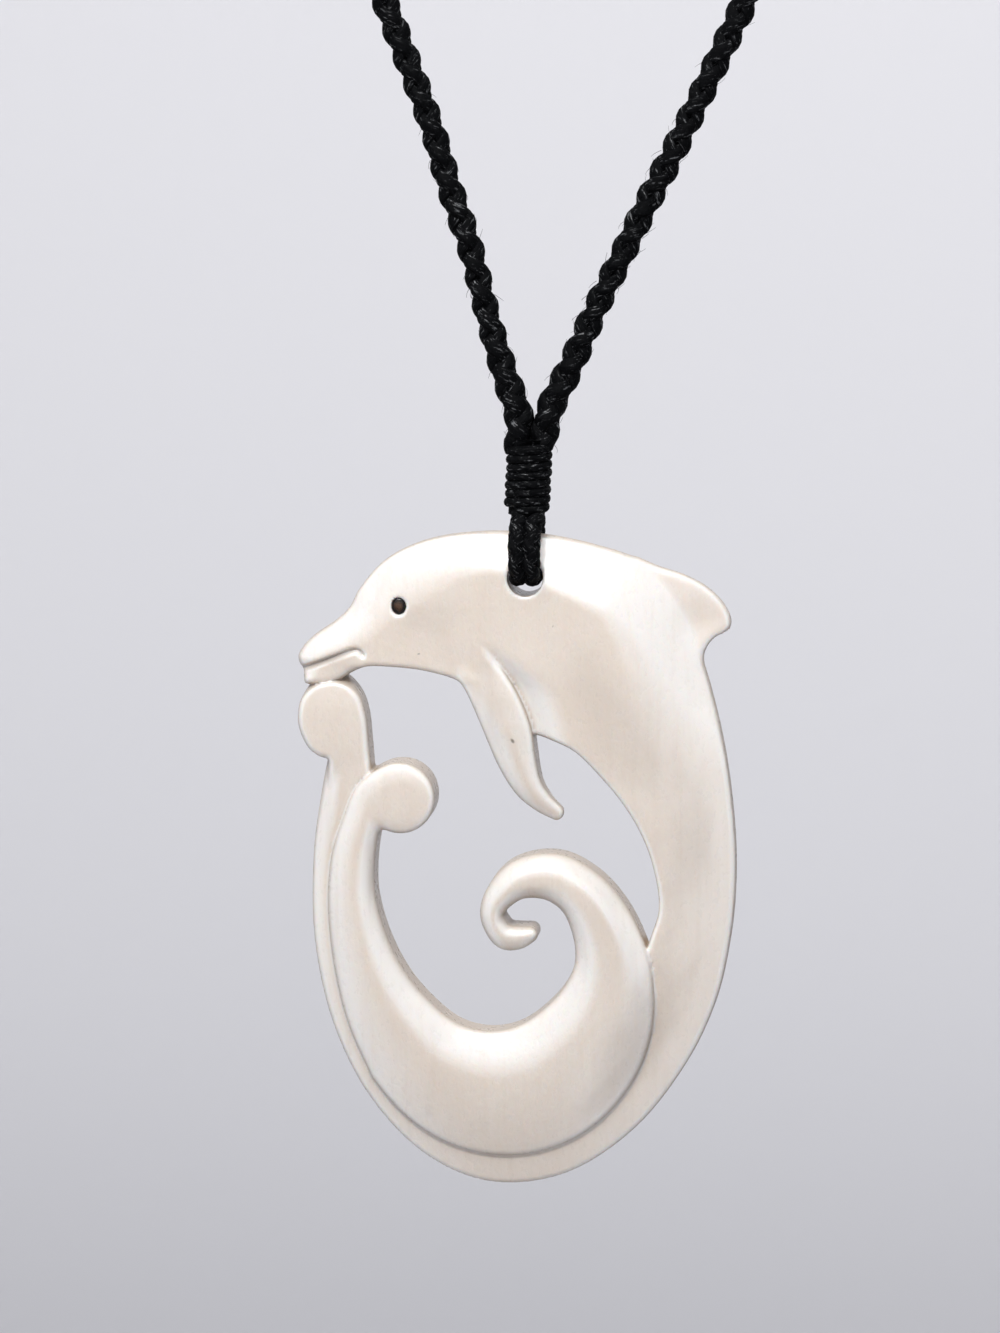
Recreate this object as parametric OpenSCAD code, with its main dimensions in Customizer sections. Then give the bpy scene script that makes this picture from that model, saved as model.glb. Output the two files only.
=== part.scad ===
// Carved bone pendant on a plaited neck cord. A dolphin curls round as an open oval, with a raised
// koru crescent inside it, and hangs from two strands that a thread whipping binds to the cord.
// X runs to the viewer's right, Y away from the viewer and Z up. The origin is the underside of the
// join behind the neck, where the necklace rests. Lengths are in millimetres.

/* [Carving] */
// Diameter of the drilled hole for the strands
hole_d = 3; // [2.9:0.05:3.3]
// Height of the dolphin's flat side, before the middle plane
face = 1.9; // [1.7:0.05:2]
// Back face of the whole carving, behind the middle plane
back_depth = 1.9; // [1.7:0.05:2]
// Half thickness of the thin rim along the dolphin's back and tail
rim_half = 1; // [0.8:0.05:1.1]
// Width of the slope from that rim up to the flat side
bevel_w = 3.8; // [2.5:0.1:4]
// Width of the chamfer along every inner edge
chamfer = 0.5; // [0.3:0.05:0.6]
// Height of the koru crescent's crest, before the middle plane
koru_crest = 2.6; // [2.3:0.05:2.9]
// Height of the flipper's crest
flipper_crest = 2.3; // [2.1:0.05:2.6]
// Height of the two round bulbs
bulb_crest = 2.5; // [2.2:0.05:2.8]
// Width of the cut mouth line
mouth_w = 0.5; // [0.3:0.05:0.7]
// Depth of the cut mouth line
mouth_depth = 0.5; // [0.3:0.05:0.8]

/* [Eye] */
// Diameter of the inlaid eye
eye_d = 1.2; // [0.9:0.05:1.4]
// Depth of the socket that holds it
eye_depth = 1; // [0.6:0.1:1.5]
// How far the inlay lies below the bone
eye_recess = 0.1; // [0.05:0.05:0.3]

/* [Cord] */
// Diameter of the plaited neck cord
cord_d = 2.2; // [1.8:0.1:2.3]
// Diameter of each strand through the hole
strand_d = 1.3; // [1:0.05:1.3]
// Space left between pieces that touch
gap = 0.05; // [0.03:0.01:0.08]

/* [Whipping] */
// Thickness of the wound thread
thread_d = 0.8; // [0.6:0.05:0.9]
// Radius of the bundle under the thread
bundle_r = 1.5; // [1.3:0.05:1.6]
// Turns of thread in the whipping
whip_turns = 8; // [7:1:8]
// Turns of thread in the join behind the neck
join_turns = 18; // [14:1:20]

/* [Hidden] */

// Centre of the drilled hole
hole_at = [0, -112, -200];
// Each turn of thread presses into the next by this part of its thickness
turn_pitch = 0.96 * thread_d;
whip_bottom = 5;
whip_x = 0.2;
join_len = join_turns * turn_pitch;
join_z = bundle_r + thread_d / 2;
eye_at = [-10.5, -2.3];
// The backs of the raised forms lie a little in from the back of the dolphin
koru_back = back_depth - 0.1;
bulb_back = back_depth - 0.15;
flipper_back = back_depth - 0.2;
cord_sides = 8;
dolphin_steps = 3;
stroke_steps = 4;
cord_rings = 28;

// The dolphin and its tail band, from the beak over the back, round the bottom and up to the lower
// bulb. Each row is a section from the outer edge to the inner one.
// Columns: outer edge right of and above the hole, inner edge the same, height of the front as a
// part of the flat side's
DOLPHIN = [
    [-18.9, -6.9, -18.7, -8.3, 0.65], [-17.0, -4.6, -17.2, -9.3, 0.8], [-14.7, -3.0, -14.4, -8.8, 0.9],
    [-12.8, 0.1, -12.0, -7.4, 1], [-9.9, 2.3, -9.0, -7.6, 1], [-6.3, 3.4, -6.5, -8.3, 1],
    [-2.4, 3.8, -4.6, -9.6, 1], [1.6, 3.5, -2.6, -11.2, 1], [5.5, 2.7, -0.5, -12.5, 1],
    [9.3, 1.3, 1.6, -13.1, 1], [12.2, -1.8, 4.0, -14.1, 1], [14.2, -6.0, 6.2, -16.2, 1],
    [15.6, -10.4, 7.9, -18.2, 1], [16.7, -15.0, 9.3, -20.4, 1], [17.4, -20.4, 10.4, -23.1, 1],
    [17.5, -25.0, 11.0, -26.6, 0.95], [17.0, -29.6, 10.3, -29.3, 0.9], [15.8, -34.6, 9.0, -33.0, 0.85],
    [13.2, -39.8, 7.2, -37.6, 0.8], [9.0, -45.2, 4.5, -41.3, 0.75], [3.4, -49.0, 0.8, -43.6, 0.75],
    [-2.8, -49.9, -3.2, -44.2, 0.75], [-8.4, -47.7, -7.0, -42.4, 0.75], [-13.0, -43.0, -10.4, -38.6, 0.75],
    [-16.0, -36.9, -12.6, -34.0, 0.75], [-17.4, -30.0, -13.6, -29.0, 0.75], [-17.4, -23.0, -13.7, -23.5, 0.75],
    [-16.8, -17.8, -13.0, -18.5, 0.75], [-16.3, -14.6, -12.7, -14.8, 0.8], [-16.2, -12.5, -13.4, -12.4, 0.8]
];

// Fin on the dolphin's back, from its root to its tip, in the same columns
FIN = [
    [9.0, 1.4, 10.4, -7.5, 1], [12.2, 0.65, 13.4, -6.9, 0.95], [14.4, -0.4, 14.5, -5.8, 0.85],
    [15.8, -1.6, 15.2, -5.0, 0.75], [16.5, -2.8, 16.0, -4.6, 0.65], [16.8, -3.6, 16.7, -4.1, 0.6]
];

// Raised koru crescent, from its bulb down, round the bottom and up to the curled tip.
// Columns: right of the hole, above the hole, half width
KORU = [
    [-10.9, -18.1, 2.3], [-12.3, -18.3, 1.9], [-13.4, -20.0, 1.6], [-14.2, -23.2, 1.8],
    [-14.3, -26.8, 2.0], [-13.5, -31.0, 2.45], [-12.0, -35.0, 3.1], [-10.1, -38.0, 3.75],
    [-7.7, -40.4, 4.4], [-4.6, -41.9, 5.0], [-1.2, -42.2, 5.3], [2.1, -41.1, 5.2],
    [4.8, -38.8, 4.75], [6.5, -36.0, 4.1], [7.2, -33.0, 3.4], [7.0, -30.4, 2.9],
    [6.1, -27.9, 2.5], [4.6, -25.8, 2.15], [2.3, -24.5, 1.95], [-0.4, -24.7, 1.6],
    [-2.2, -26.2, 1.2], [-2.7, -28.1, 1.0], [-1.9, -29.4, 1.1], [-0.3, -29.7, 1.15]
];
// Across the crescent, from its outer edge to its inner one.
// Columns: place between the edges from -1 to 1, height of the front as a part of the crest's
KORU_PROFILE = [
    [-1, 0.7], [-0.85, 0.85], [-0.4, 0.96], [0.2, 1], [0.7, 0.92], [0.92, 0.75], [1, 0.55]
];

// Flipper, from the chest to its tip. Columns: right of the hole, above the hole, half width
FLIPPER = [
    [-5.0, -5.0, 1.3], [-3.9, -7.3, 1.8], [-2.4, -10.2, 2.0], [-1.4, -12.6, 1.95],
    [-0.8, -14.9, 1.6], [0.0, -17.0, 1.2], [1.2, -18.4, 0.85], [2.4, -19.3, 0.5], [3.0, -19.6, 0.2]
];
// Across the flipper, from its front edge to its rear one, in the columns of the crescent's profile
FLIPPER_PROFILE = [[-1, 0.5], [-0.6, 0.88], [0, 1], [0.7, 0.96], [1, 0.74]];

// The two round bulbs and the end of the curled tip.
// Columns: right of the hole, above the hole, radius, height as a part of the bulbs'
BULBS = [[-15.9, -11.7, 2.95, 1], [-10.3, -18.1, 2.85, 1], [-0.3, -29.7, 1.2, 0.9]];

// Cut mouth line. Columns: right of the hole, above the hole
MOUTH = [[-19.3, -8.0], [-16.5, -7.0], [-14.0, -6.1], [-13.2, -6.4]];

// Middle line of each half of the neck cord, from the whipping to the join behind the neck.
// Columns: X, Y, Z
ROUTE_LEFT = [
    [-0.9, -112, -188.8], [-1.1, -112, -186.6], [-3, -112, -179], [-6, -111.8, -169],
    [-11.6, -111, -153], [-25, -107, -122], [-43, -99, -88], [-60, -84, -53],
    [-70, -60, -28], [-66, -34, -14], [-49, -13, -6], [-28, -3.5, 0.5], [-13, 0, 1.9], [-7.1, 0, 1.9]
];
ROUTE_RIGHT = [
    [1.35, -112, -188.8], [1.8, -112, -186.6], [5, -112, -179], [9.4, -111.8, -170],
    [17.6, -111, -153], [32, -107, -122], [49, -98, -88], [63, -83, -53],
    [70, -60, -28], [66, -34, -14], [49, -13, -6], [28, -3.5, 0.5], [13, 0, 1.9], [7.1, 0, 1.9]
];

// A smooth curve through b and c at the part t of the way, with a before them and d after
function between(a, b, c, d, t) =
    0.5 * (2 * b + (c - a) * t + (2 * a - 5 * b + 4 * c - d) * t * t
        + (3 * b - a - 3 * c + d) * t * t * t);

// One row at the distance u along an open curve, where u counts rows
function along(rows, u) =
    let (last = len(rows) - 1, i = min(floor(u), last - 1))
    between(rows[max(i - 1, 0)], rows[i], rows[i + 1], rows[min(i + 2, last)], u - i);

// Evenly counted rows along an open curve
function open_curve(rows, count) = [
    for (k = [0:count - 1]) along(rows, k * (len(rows) - 1) / (count - 1))
];

function unit(v) = v / norm(v);

// Direction of a list of rows at row i, in as many columns as its points have
function heading(points, i) =
    unit(points[min(i + 1, len(points) - 1)] - points[max(i - 1, 0)]);

// One side of a strand of cord, from the whipping down to the middle of the hole.
// Columns: before or behind the middle plane, above the hole
bend_r = 1.4;
bend_steps = 4;
strand_face = 2.45;
strand_bend = [
    for (k = [0:bend_steps])
        let (a = 90 * k / bend_steps)
        [strand_face - bend_r + bend_r * cos(a), bend_r * (1 - sin(a))]
];
strand_rise = [[0.85, whip_bottom - gap], [1.6, 4.35], [2.15, 3.5], [2.4, 2.4]];
strand_front = concat(strand_rise, strand_bend);
// The strands lean over to the whipping between these heights
lean_from = 1.5;
lean_to = 4.8;

// Middle line of one strand, about the hole. The side is -1 for the left one and 1 for the right one
function strand_route(side) =
    let (
        spread = side * (strand_d / 2 + gap),
        lean = function(z) whip_x * max(0, min(1, (z - lean_from) / (lean_to - lean_from))),
        place = function(p, facing) [spread + lean(p[1]), facing * p[0], p[1]],
        last = len(strand_front) - 1
    )
    concat(
        [for (p = strand_front) place(p, -1)],
        [for (i = [last:-1:0]) place(strand_front[i], 1)]
    );

// A round tube along the points, whose flat ends face along start and finish. Across is a
// direction that the tube never runs along
module tube(points, d, across, start, finish, sides = cord_sides) {
    rings = [
        for (i = [0:len(points) - 1])
            let (
                t = i == 0 ? start : i == len(points) - 1 ? finish : heading(points, i),
                u = unit(cross(t, across)),
                v = cross(t, u)
            )
            for (k = [0:sides - 1])
                let (a = 360 * (k + 0.5) / sides)
                points[i] + d / 2 * (cos(a) * u + sin(a) * v)
    ];
    last = len(points) - 1;
    polyhedron(rings, concat(
        [[for (k = [0:sides - 1]) k]],
        [[for (k = [0:sides - 1]) last * sides + sides - 1 - k]],
        [
            for (i = [0:last - 1], k = [0:sides - 1])
                let (next = (k + 1) % sides)
                [i * sides + k, (i + 1) * sides + k, (i + 1) * sides + next, i * sides + next]
        ]
    ));
}

// A closed skin over sections that all have the same number of points
module loft(sections) {
    count = len(sections[0]);
    last = len(sections) - 1;
    polyhedron([for (section = sections, p = section) p], concat(
        [[for (k = [0:count - 1]) count - 1 - k]],
        [[for (k = [0:count - 1]) last * count + k]],
        [
            for (i = [0:last - 1], k = [0:count - 1])
                let (next = (k + 1) % count)
                [i * count + k, i * count + next, (i + 1) * count + next, (i + 1) * count + k]
        ]
    ));
}

// A section from its start along the way in the plane of the carving, where each point of the
// profile is a distance along that way and a height before the middle plane
function section(start, way, profile) = [
    for (p = profile) [start[0] + p[0] * way[0], start[1] + p[0] * way[1], p[1]]
];

// Section of the dolphin: a thin rim, a slope up to the flat side, and a chamfered inner edge
function dolphin_section(row) =
    let (
        outer = [row[0], row[1]],
        inner = [row[2], row[3]],
        w = norm(inner - outer),
        front = row[4] * face,
        slope = min(bevel_w, 0.45 * w),
        edge = min(chamfer, 0.25 * w),
        rim = min(rim_half, front - 0.2)
    )
    section(outer, (inner - outer) / w, [
        [0, rim], [0, -rim_half], [slope, -back_depth], [w - edge, -back_depth],
        [w, edge - back_depth], [w, front - edge], [w - edge, front], [slope, front]
    ]);

// Sections of a raised stroke that follows rows of place and half width
function stroke_sections(rows, steps, profile, crest, back) =
    let (
        line = open_curve(rows, (len(rows) - 1) * steps + 1),
        centres = [for (p = line) [p[0], p[1]]]
    )
    [
        for (i = [0:len(line) - 1])
            let (
                t = heading(centres, i),
                half = line[i][2],
                front = [for (p = profile) [p[0] * half, p[1] * crest]],
                edge = min(chamfer, half / 2)
            )
            section(centres[i], [-t[1], t[0]], concat(front, [
                [half, edge - back], [half - edge, -back],
                [edge - half, -back], [-half, edge - back]
            ]))
    ];

// Puts a shape drawn in the plane of the carving, with its front up, where the carving hangs
module hang() {
    translate(hole_at)
        rotate([90, 0, 0])
            children();
}

// A round bulb with a domed front
module bulb(r, crest) {
    edge = min(chamfer, r / 3);
    rotate_extrude($fn = 64)
        polygon([
            [0, -bulb_back], [r - edge, -bulb_back], [r, edge - bulb_back],
            [r, 0.6 * crest], [0.93 * r, 0.82 * crest], [0.7 * r, 0.95 * crest], [0, crest]
        ]);
}

module carved_forms() {
    loft([for (row = open_curve(DOLPHIN, (len(DOLPHIN) - 1) * dolphin_steps + 1)) dolphin_section(row)]);
    loft([for (row = open_curve(FIN, (len(FIN) - 1) * dolphin_steps + 1)) dolphin_section(row)]);
    loft(stroke_sections(KORU, stroke_steps, KORU_PROFILE, koru_crest, koru_back));
    loft(stroke_sections(FLIPPER, stroke_steps, FLIPPER_PROFILE, flipper_crest, flipper_back));
    for (row = BULBS)
        translate([row[0], row[1]])
            bulb(row[2], row[3] * bulb_crest);
}

module mouth_cut() {
    translate([0, 0, face - mouth_depth])
        linear_extrude(koru_crest)
            for (i = [0:len(MOUTH) - 2])
                let (
                    a = MOUTH[i],
                    b = MOUTH[i + 1],
                    t = unit(b - a),
                    side = mouth_w / 2 * [-t[1], t[0]]
                )
                polygon([a + side, b + side + t * 0.1, b - side + t * 0.1, a - side]);
}

module carving() {
    color([0.94, 0.91, 0.85])
        hang()
            difference() {
                carved_forms();
                cylinder(d = hole_d, h = 4 * back_depth, center = true, $fn = 64);
                translate([eye_at[0], eye_at[1], face - eye_depth])
                    cylinder(d = eye_d + 2 * gap, h = koru_crest, $fn = 48);
                mouth_cut();
            }
}

module eye_inlay() {
    color([0.16, 0.11, 0.09])
        hang()
            translate([eye_at[0], eye_at[1], face - eye_depth + gap])
                cylinder(d = eye_d, h = eye_depth - gap - eye_recess, $fn = 48);
}

module strand(side) {
    color([0.06, 0.06, 0.07])
        translate(hole_at)
            tube(strand_route(side), strand_d, [1, 0, 0], [0, 0, -1], [0, 0, 1]);
}

// Turns of thread wound on a bundle, standing on the origin
module wound(turns) {
    rotate_extrude($fn = 64) {
        square([bundle_r, turns * turn_pitch]);
        for (i = [0:turns - 1])
            translate([bundle_r, (i + 0.5) * turn_pitch])
                circle(d = thread_d, $fn = 32);
    }
}

module whipping() {
    color([0.05, 0.05, 0.06])
        translate(hole_at + [whip_x, 0, whip_bottom])
            wound(whip_turns);
}

module neck_cord(route, side) {
    color([0.07, 0.07, 0.08])
        tube(open_curve(route, cord_rings), cord_d, [-side, -1, 0], [0, 0, 1], [-side, 0, 0]);
}

module nape_join() {
    color([0.05, 0.05, 0.06])
        translate([-join_len / 2, 0, join_z])
            rotate([0, 90, 0])
                wound(join_turns);
}

carving();
eye_inlay();
strand(-1);  // strand_left
strand(1);  // strand_right
whipping();
neck_cord(ROUTE_LEFT, -1);  // cord_left
neck_cord(ROUTE_RIGHT, 1);  // cord_right
nape_join();
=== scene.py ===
# A carved bone pendant on a loop of black plaited cord. It hangs in front as it does when it is worn,
# with the join of the cord at the back. +Z is up and -Y is out of the pendant's carved front.
import math

import bpy
import numpy as np
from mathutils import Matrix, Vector


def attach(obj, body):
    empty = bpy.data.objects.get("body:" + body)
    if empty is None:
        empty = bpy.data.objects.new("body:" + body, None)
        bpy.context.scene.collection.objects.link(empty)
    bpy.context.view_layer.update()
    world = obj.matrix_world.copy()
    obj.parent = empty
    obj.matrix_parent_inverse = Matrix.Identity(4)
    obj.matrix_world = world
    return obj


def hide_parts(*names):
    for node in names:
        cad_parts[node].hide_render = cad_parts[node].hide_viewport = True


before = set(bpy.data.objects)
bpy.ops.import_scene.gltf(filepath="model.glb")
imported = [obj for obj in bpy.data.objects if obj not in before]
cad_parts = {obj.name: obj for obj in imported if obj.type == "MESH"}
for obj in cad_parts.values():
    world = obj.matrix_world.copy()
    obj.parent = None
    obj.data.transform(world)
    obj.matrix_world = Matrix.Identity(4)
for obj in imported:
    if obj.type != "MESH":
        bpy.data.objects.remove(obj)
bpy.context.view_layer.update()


# Camera. It stands before the pendant, a little to its right and above it, so a thin strip of the
# wall shows along the right and the top of each carved form.
hole_centre = np.array((0.0, -0.112, -0.2))
picture_centre = hole_centre + np.array((-0.00202, -0.0019, -0.00722))
from_right, from_above = math.radians(6), math.radians(8)
camera_distance = 0.45
seen_height = 0.1086
way_back = np.array((
    math.sin(from_right) * math.cos(from_above),
    -math.cos(from_right) * math.cos(from_above),
    math.sin(from_above),
))
camera = bpy.data.objects.new("camera", bpy.data.cameras.new("camera"))
camera.data.lens = camera.data.sensor_width * camera_distance / seen_height
camera.data.clip_start, camera.data.clip_end = 0.01, 20
camera.location = picture_centre + way_back * camera_distance
camera.rotation_mode = "QUATERNION"
camera.rotation_quaternion = Vector(-way_back).to_track_quat("-Z", "Y")
bpy.context.scene.collection.objects.link(camera)
bpy.context.scene.camera = camera


# Neck cord. Each half is a round plait of four waxed black strands, two turning each way, that
# stands on the whipping and runs up over the shoulder to the join behind the neck.
plait_turn = 4.66
plait_middle_r, plait_swing = 0.53, 0.2
plait_wide, plait_thick = 1.3, 0.84
plait_first = 2.7
rings_per_turn, plait_sides = 20, 10
route_points = 1200
cord_r, fibres_a_half, fibre_d = 1.1, 300, 0.04
left_half = [
    (-0.75, -112, -189.6), (-0.68, -112, -186.9), (-1.75, -112, -183.7), (-3.1, -112, -179.2),
    (-4.6, -112, -173.4), (-6.3, -111.8, -168.5), (-9.9, -111.3, -158), (-25, -107, -122),
    (-43, -99, -88), (-60, -84, -53), (-70, -60, -28), (-66, -34, -14), (-49, -13, -6),
    (-28, -3.5, 0.5), (-13, 0, 1.9), (-6.5, 0, 1.9),
]
right_half = [
    (1.25, -112, -189.6), (1.85, -112, -186.4), (3.6, -112, -182.7), (5.6, -112, -178.1),
    (7.5, -112, -174.2), (9.6, -111.8, -169.8), (14.6, -111.4, -159.6), (32, -107, -122),
    (49, -98, -88), (63, -83, -53), (70, -60, -28), (66, -34, -14), (49, -13, -6),
    (28, -3.5, 0.5), (13, 0, 1.9), (6.5, 0, 1.9),
]


def smooth_line(rows, count):
    """A smooth line through the rows, at places evenly spread over their numbers. Between rows b and
    c, with a before and d after, it is the cubic (2b + (c - a)t + (2a - 5b + 4c - d)t^2
    + (3b - a - 3c + d)t^3) / 2 of the part t of the way."""
    rows = np.asarray(rows, float)
    last = len(rows) - 1
    place = np.linspace(0, last, count)
    i = np.minimum(place.astype(int), last - 1)
    t = (place - i)[:, None]
    a, b, c, d = rows[np.maximum(i - 1, 0)], rows[i], rows[i + 1], rows[np.minimum(i + 2, last)]
    return 0.5 * (2 * b + (c - a) * t + (2 * a - 5 * b + 4 * c - d) * t**2
                  + (3 * b - a - 3 * c + d) * t**3)


def length_along(line):
    """Length of a line from its start to each of its points."""
    return np.concatenate([[0], np.cumsum(np.linalg.norm(np.diff(line, axis=0), axis=1))])


def even_line(line, step):
    """The same line, at points a whole number of nearly equal steps apart."""
    along = length_along(line)
    wanted = np.linspace(0, along[-1], max(2, round(along[-1] / step) + 1))
    return np.stack([np.interp(wanted, along, column) for column in line.T], axis=1)


def unit(rows):
    """Each row at length one."""
    return rows / np.linalg.norm(rows, axis=-1, keepdims=True)


def strand_skin(line, outward, wide, thick, sides):
    """A strand carried along a line: round each point p it is the ring
    p + wide/2 cos(a) sideways + thick/2 sin(a) outward. Gives its points, four-cornered faces, end
    faces, and for each face corner how far round (0 to 1) and along (in mm) it lies."""
    ahead = unit(np.gradient(line, axis=0))
    sideways = unit(np.cross(ahead, outward))
    out = np.cross(sideways, ahead)
    a = np.linspace(0, 2 * math.pi, sides, endpoint=False)
    ring = (np.cos(a)[None, :, None] * sideways[:, None] * np.reshape(wide, (-1, 1, 1)) / 2
            + np.sin(a)[None, :, None] * out[:, None] * np.reshape(thick, (-1, 1, 1)) / 2)
    points = (line[:, None] + ring).reshape(-1, 3)
    i, k = np.meshgrid(np.arange(len(line) - 1), np.arange(sides), indexing="ij")
    corner_i = np.stack([i, i + 1, i + 1, i], axis=-1)
    corner_k = np.stack([k, k, k + 1, k + 1], axis=-1)
    faces = (corner_i * sides + corner_k % sides).reshape(-1, 4)[:, ::-1]
    along = length_along(line)
    uv = np.stack([corner_k / sides, along[corner_i]], axis=-1).reshape(-1, 4, 2)[:, ::-1]
    first = np.arange(sides)
    ends = [first.tolist(), (first + (len(line) - 1) * sides)[::-1].tolist()]
    return points, faces, ends, uv


def new_piece(name, points, faces, material, flat_faces=0):
    """An object of one mesh at the origin, smooth except for its last faces."""
    mesh = bpy.data.meshes.new(name)
    mesh.from_pydata(points.tolist(), [], faces)
    mesh.polygons.foreach_set("use_smooth", np.arange(len(faces)) < len(faces) - flat_faces)
    mesh.materials.append(material)
    piece = bpy.data.objects.new(name, mesh)
    bpy.context.scene.collection.objects.link(piece)
    return piece


def strand_piece(name, strands, material):
    """One piece of several strands, each as strand_skin gives it, with a map named thread."""
    points, faces, uvs, start = [], [], [], 0
    for skin_points, skin_faces, ends, uv in strands:
        faces += (skin_faces + start).tolist() + [[c + start for c in end] for end in ends]
        uvs += [uv.reshape(-1, 2)] + [np.zeros((len(end), 2)) for end in ends]
        points.append(skin_points)
        start += len(skin_points)
    piece = new_piece(name, np.concatenate(points) * 0.001, faces, material)
    layer = piece.data.uv_layers.new(name="thread")
    layer.data.foreach_set("uv", np.concatenate(uvs).astype(np.float32).ravel())
    return piece


def new_nodes(material):
    """The material's node tree and its Principled shader."""
    material.use_nodes = True
    return material.node_tree, material.node_tree.nodes["Principled BSDF"]


def ranged(tree, source, low=0.0, high=1.0, to_low=0.0, to_high=1.0):
    """The output of a new node that goes from to_low where the source is low to to_high where it is
    high, and stays there beyond."""
    node = tree.nodes.new("ShaderNodeMapRange")
    for name, value in (("From Min", low), ("From Max", high), ("To Min", to_low), ("To Max", to_high)):
        node.inputs[name].default_value = value
    tree.links.new(source, node.inputs["Value"])
    return node.outputs[0]


def worked(tree, kind, *values):
    """The output of a new node that works out one kind of sum from numbers and other outputs."""
    node = tree.nodes.new("ShaderNodeMath")
    node.operation = kind
    for socket, value in zip(node.inputs, values):
        if isinstance(value, (int, float)):
            socket.default_value = value
        else:
            tree.links.new(value, socket)
    return node.outputs[0]


def noise(tree, place, scale, detail, roughness=0.5):
    """The output of a new node of soft noise from 0 to 1, which a place goes into."""
    node = tree.nodes.new("ShaderNodeTexNoise")
    for name, value in (("Scale", scale), ("Detail", detail), ("Roughness", roughness)):
        node.inputs[name].default_value = value
    tree.links.new(place, node.inputs["Vector"])
    return node.outputs["Fac"]


def mixed(tree, share, below, above):
    """The output of a new node that is the colour below where the share is 0 and the one above where
    it is 1."""
    mix = tree.nodes.new("ShaderNodeMix")
    mix.data_type = "RGBA"
    tree.links.new(share, mix.inputs["Factor"])
    for socket, value in ((mix.inputs["A"], below), (mix.inputs["B"], above)):
        if isinstance(value, tuple):
            socket.default_value = value
        else:
            tree.links.new(value, socket)
    return mix.outputs["Result"]


def twisted_thread_group():
    """Shading of a thread of plies twisted together. Height is the sine of the plies round the thread
    and along its twist, with fine fibres drawn out along it; glint masks the few fibres that stand up,
    for gloss and a painted highlight."""
    group = bpy.data.node_groups.new("twisted thread", "ShaderNodeTree")
    for name, way in (("Plies", "INPUT"), ("Twist", "INPUT"), ("Fibre", "INPUT"),
                      ("Height", "OUTPUT"), ("Glint", "OUTPUT")):
        group.interface.new_socket(name, in_out=way, socket_type="NodeSocketFloat")
    new, link = group.nodes.new, group.links.new
    given, gives = new("NodeGroupInput"), new("NodeGroupOutput")
    place = new("ShaderNodeUVMap")
    place.uv_map = "thread"
    parts = new("ShaderNodeSeparateXYZ")
    link(place.outputs[0], parts.inputs[0])
    round_it = worked(group, "MULTIPLY", parts.outputs[0], given.outputs["Plies"])
    along_it = worked(group, "MULTIPLY", parts.outputs[1], given.outputs["Twist"])
    turn = worked(group, "ADD", round_it, along_it)
    ply = worked(group, "ABSOLUTE", worked(group, "SINE", worked(group, "MULTIPLY", turn, math.pi)))
    fibre = noise(group, new("ShaderNodeTexCoord").outputs["Object"], 4200, 3, 0.7)
    drawn = new("ShaderNodeCombineXYZ")
    link(worked(group, "MULTIPLY", round_it, 3.0), drawn.inputs[0])
    link(worked(group, "MULTIPLY", parts.outputs[1], 0.7), drawn.inputs[1])
    link(worked(group, "MULTIPLY", turn, 0.5), drawn.inputs[2])
    hair = noise(group, drawn.outputs[0], 2.2, 3, 0.65)
    rough = worked(group, "MULTIPLY", worked(group, "ADD", fibre, hair), given.outputs["Fibre"])
    link(worked(group, "ADD", ply, rough), gives.inputs["Height"])
    raised = worked(group, "ADD", worked(group, "MULTIPLY", hair, 0.9),
                    worked(group, "MULTIPLY", fibre, 0.2))
    link(worked(group, "MULTIPLY", ranged(group, raised, 0.62, 0.74), ply), gives.inputs["Glint"])
    return group


twisted_thread = twisted_thread_group()


def black_thread(name, plies, twist, bump):
    """Waxed black thread: near black, with a few glossier fibres painted grey as highlights."""
    material = bpy.data.materials.new(name)
    tree, shader = new_nodes(material)
    new, link = tree.nodes.new, tree.links.new
    ply = new("ShaderNodeGroup")
    ply.node_tree = twisted_thread
    for socket, value in (("Plies", plies), ("Twist", twist), ("Fibre", 0.7)):
        ply.inputs[socket].default_value = value
    glint = ply.outputs["Glint"]
    # Painted highlight: the glinting fibres are grey in the base colour
    tone = mixed(tree, glint, (0.0018, 0.002, 0.0025, 1), (0.13, 0.135, 0.14, 1))
    link(tone, shader.inputs["Base Color"])
    link(ranged(tree, glint, to_low=0.7, to_high=0.35), shader.inputs["Roughness"])
    link(glint, shader.inputs["Coat Weight"])
    relief = new("ShaderNodeBump")
    relief.inputs["Strength"].default_value = 1
    relief.inputs["Distance"].default_value = bump * 0.001
    link(ply.outputs["Height"], relief.inputs["Height"])
    link(relief.outputs[0], shader.inputs["Normal"])
    shader.inputs["Specular IOR Level"].default_value = 0.06
    shader.inputs["Coat Roughness"].default_value = 0.35
    return material


def plait(route, lean, turn, middle_r, swing, wide, thick, sides, rings, first):
    """A round plait of four strands. At a length s along it, counted from first, each turns one way or
    the other at the angle 2 pi s / turn + start, at the radius middle_r +- swing * cos(4 pi s / turn),
    so that it passes over one crossing strand and under the next. Its width wanders a little, as hand
    plaiting leaves it, and it is fullest near the first end."""
    middle = even_line(smooth_line(route, route_points), turn / rings)
    ahead = unit(np.gradient(middle, axis=0))
    side_way = unit(np.cross(ahead, lean))
    front_way = np.cross(ahead, side_way)
    s = length_along(middle)[:, None] - first
    strands = []
    for turning in (1, -1):
        for start in (0, math.pi):
            angle = turning * 2 * math.pi * s / turn + start - math.pi / 4
            outward = np.cos(angle) * side_way + np.sin(angle) * front_way
            radius = middle_r + turning * swing * np.cos(4 * math.pi * s / turn)
            pull = 1 + 0.05 * np.sin(1.9 * s / turn + 2 * start + turning)
            pull = pull + 0.26 * np.exp(-((s / 5) ** 2))
            strands.append(strand_skin(middle + radius * outward, outward, wide * pull, thick * pull,
                                       sides))
    return strands


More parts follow.
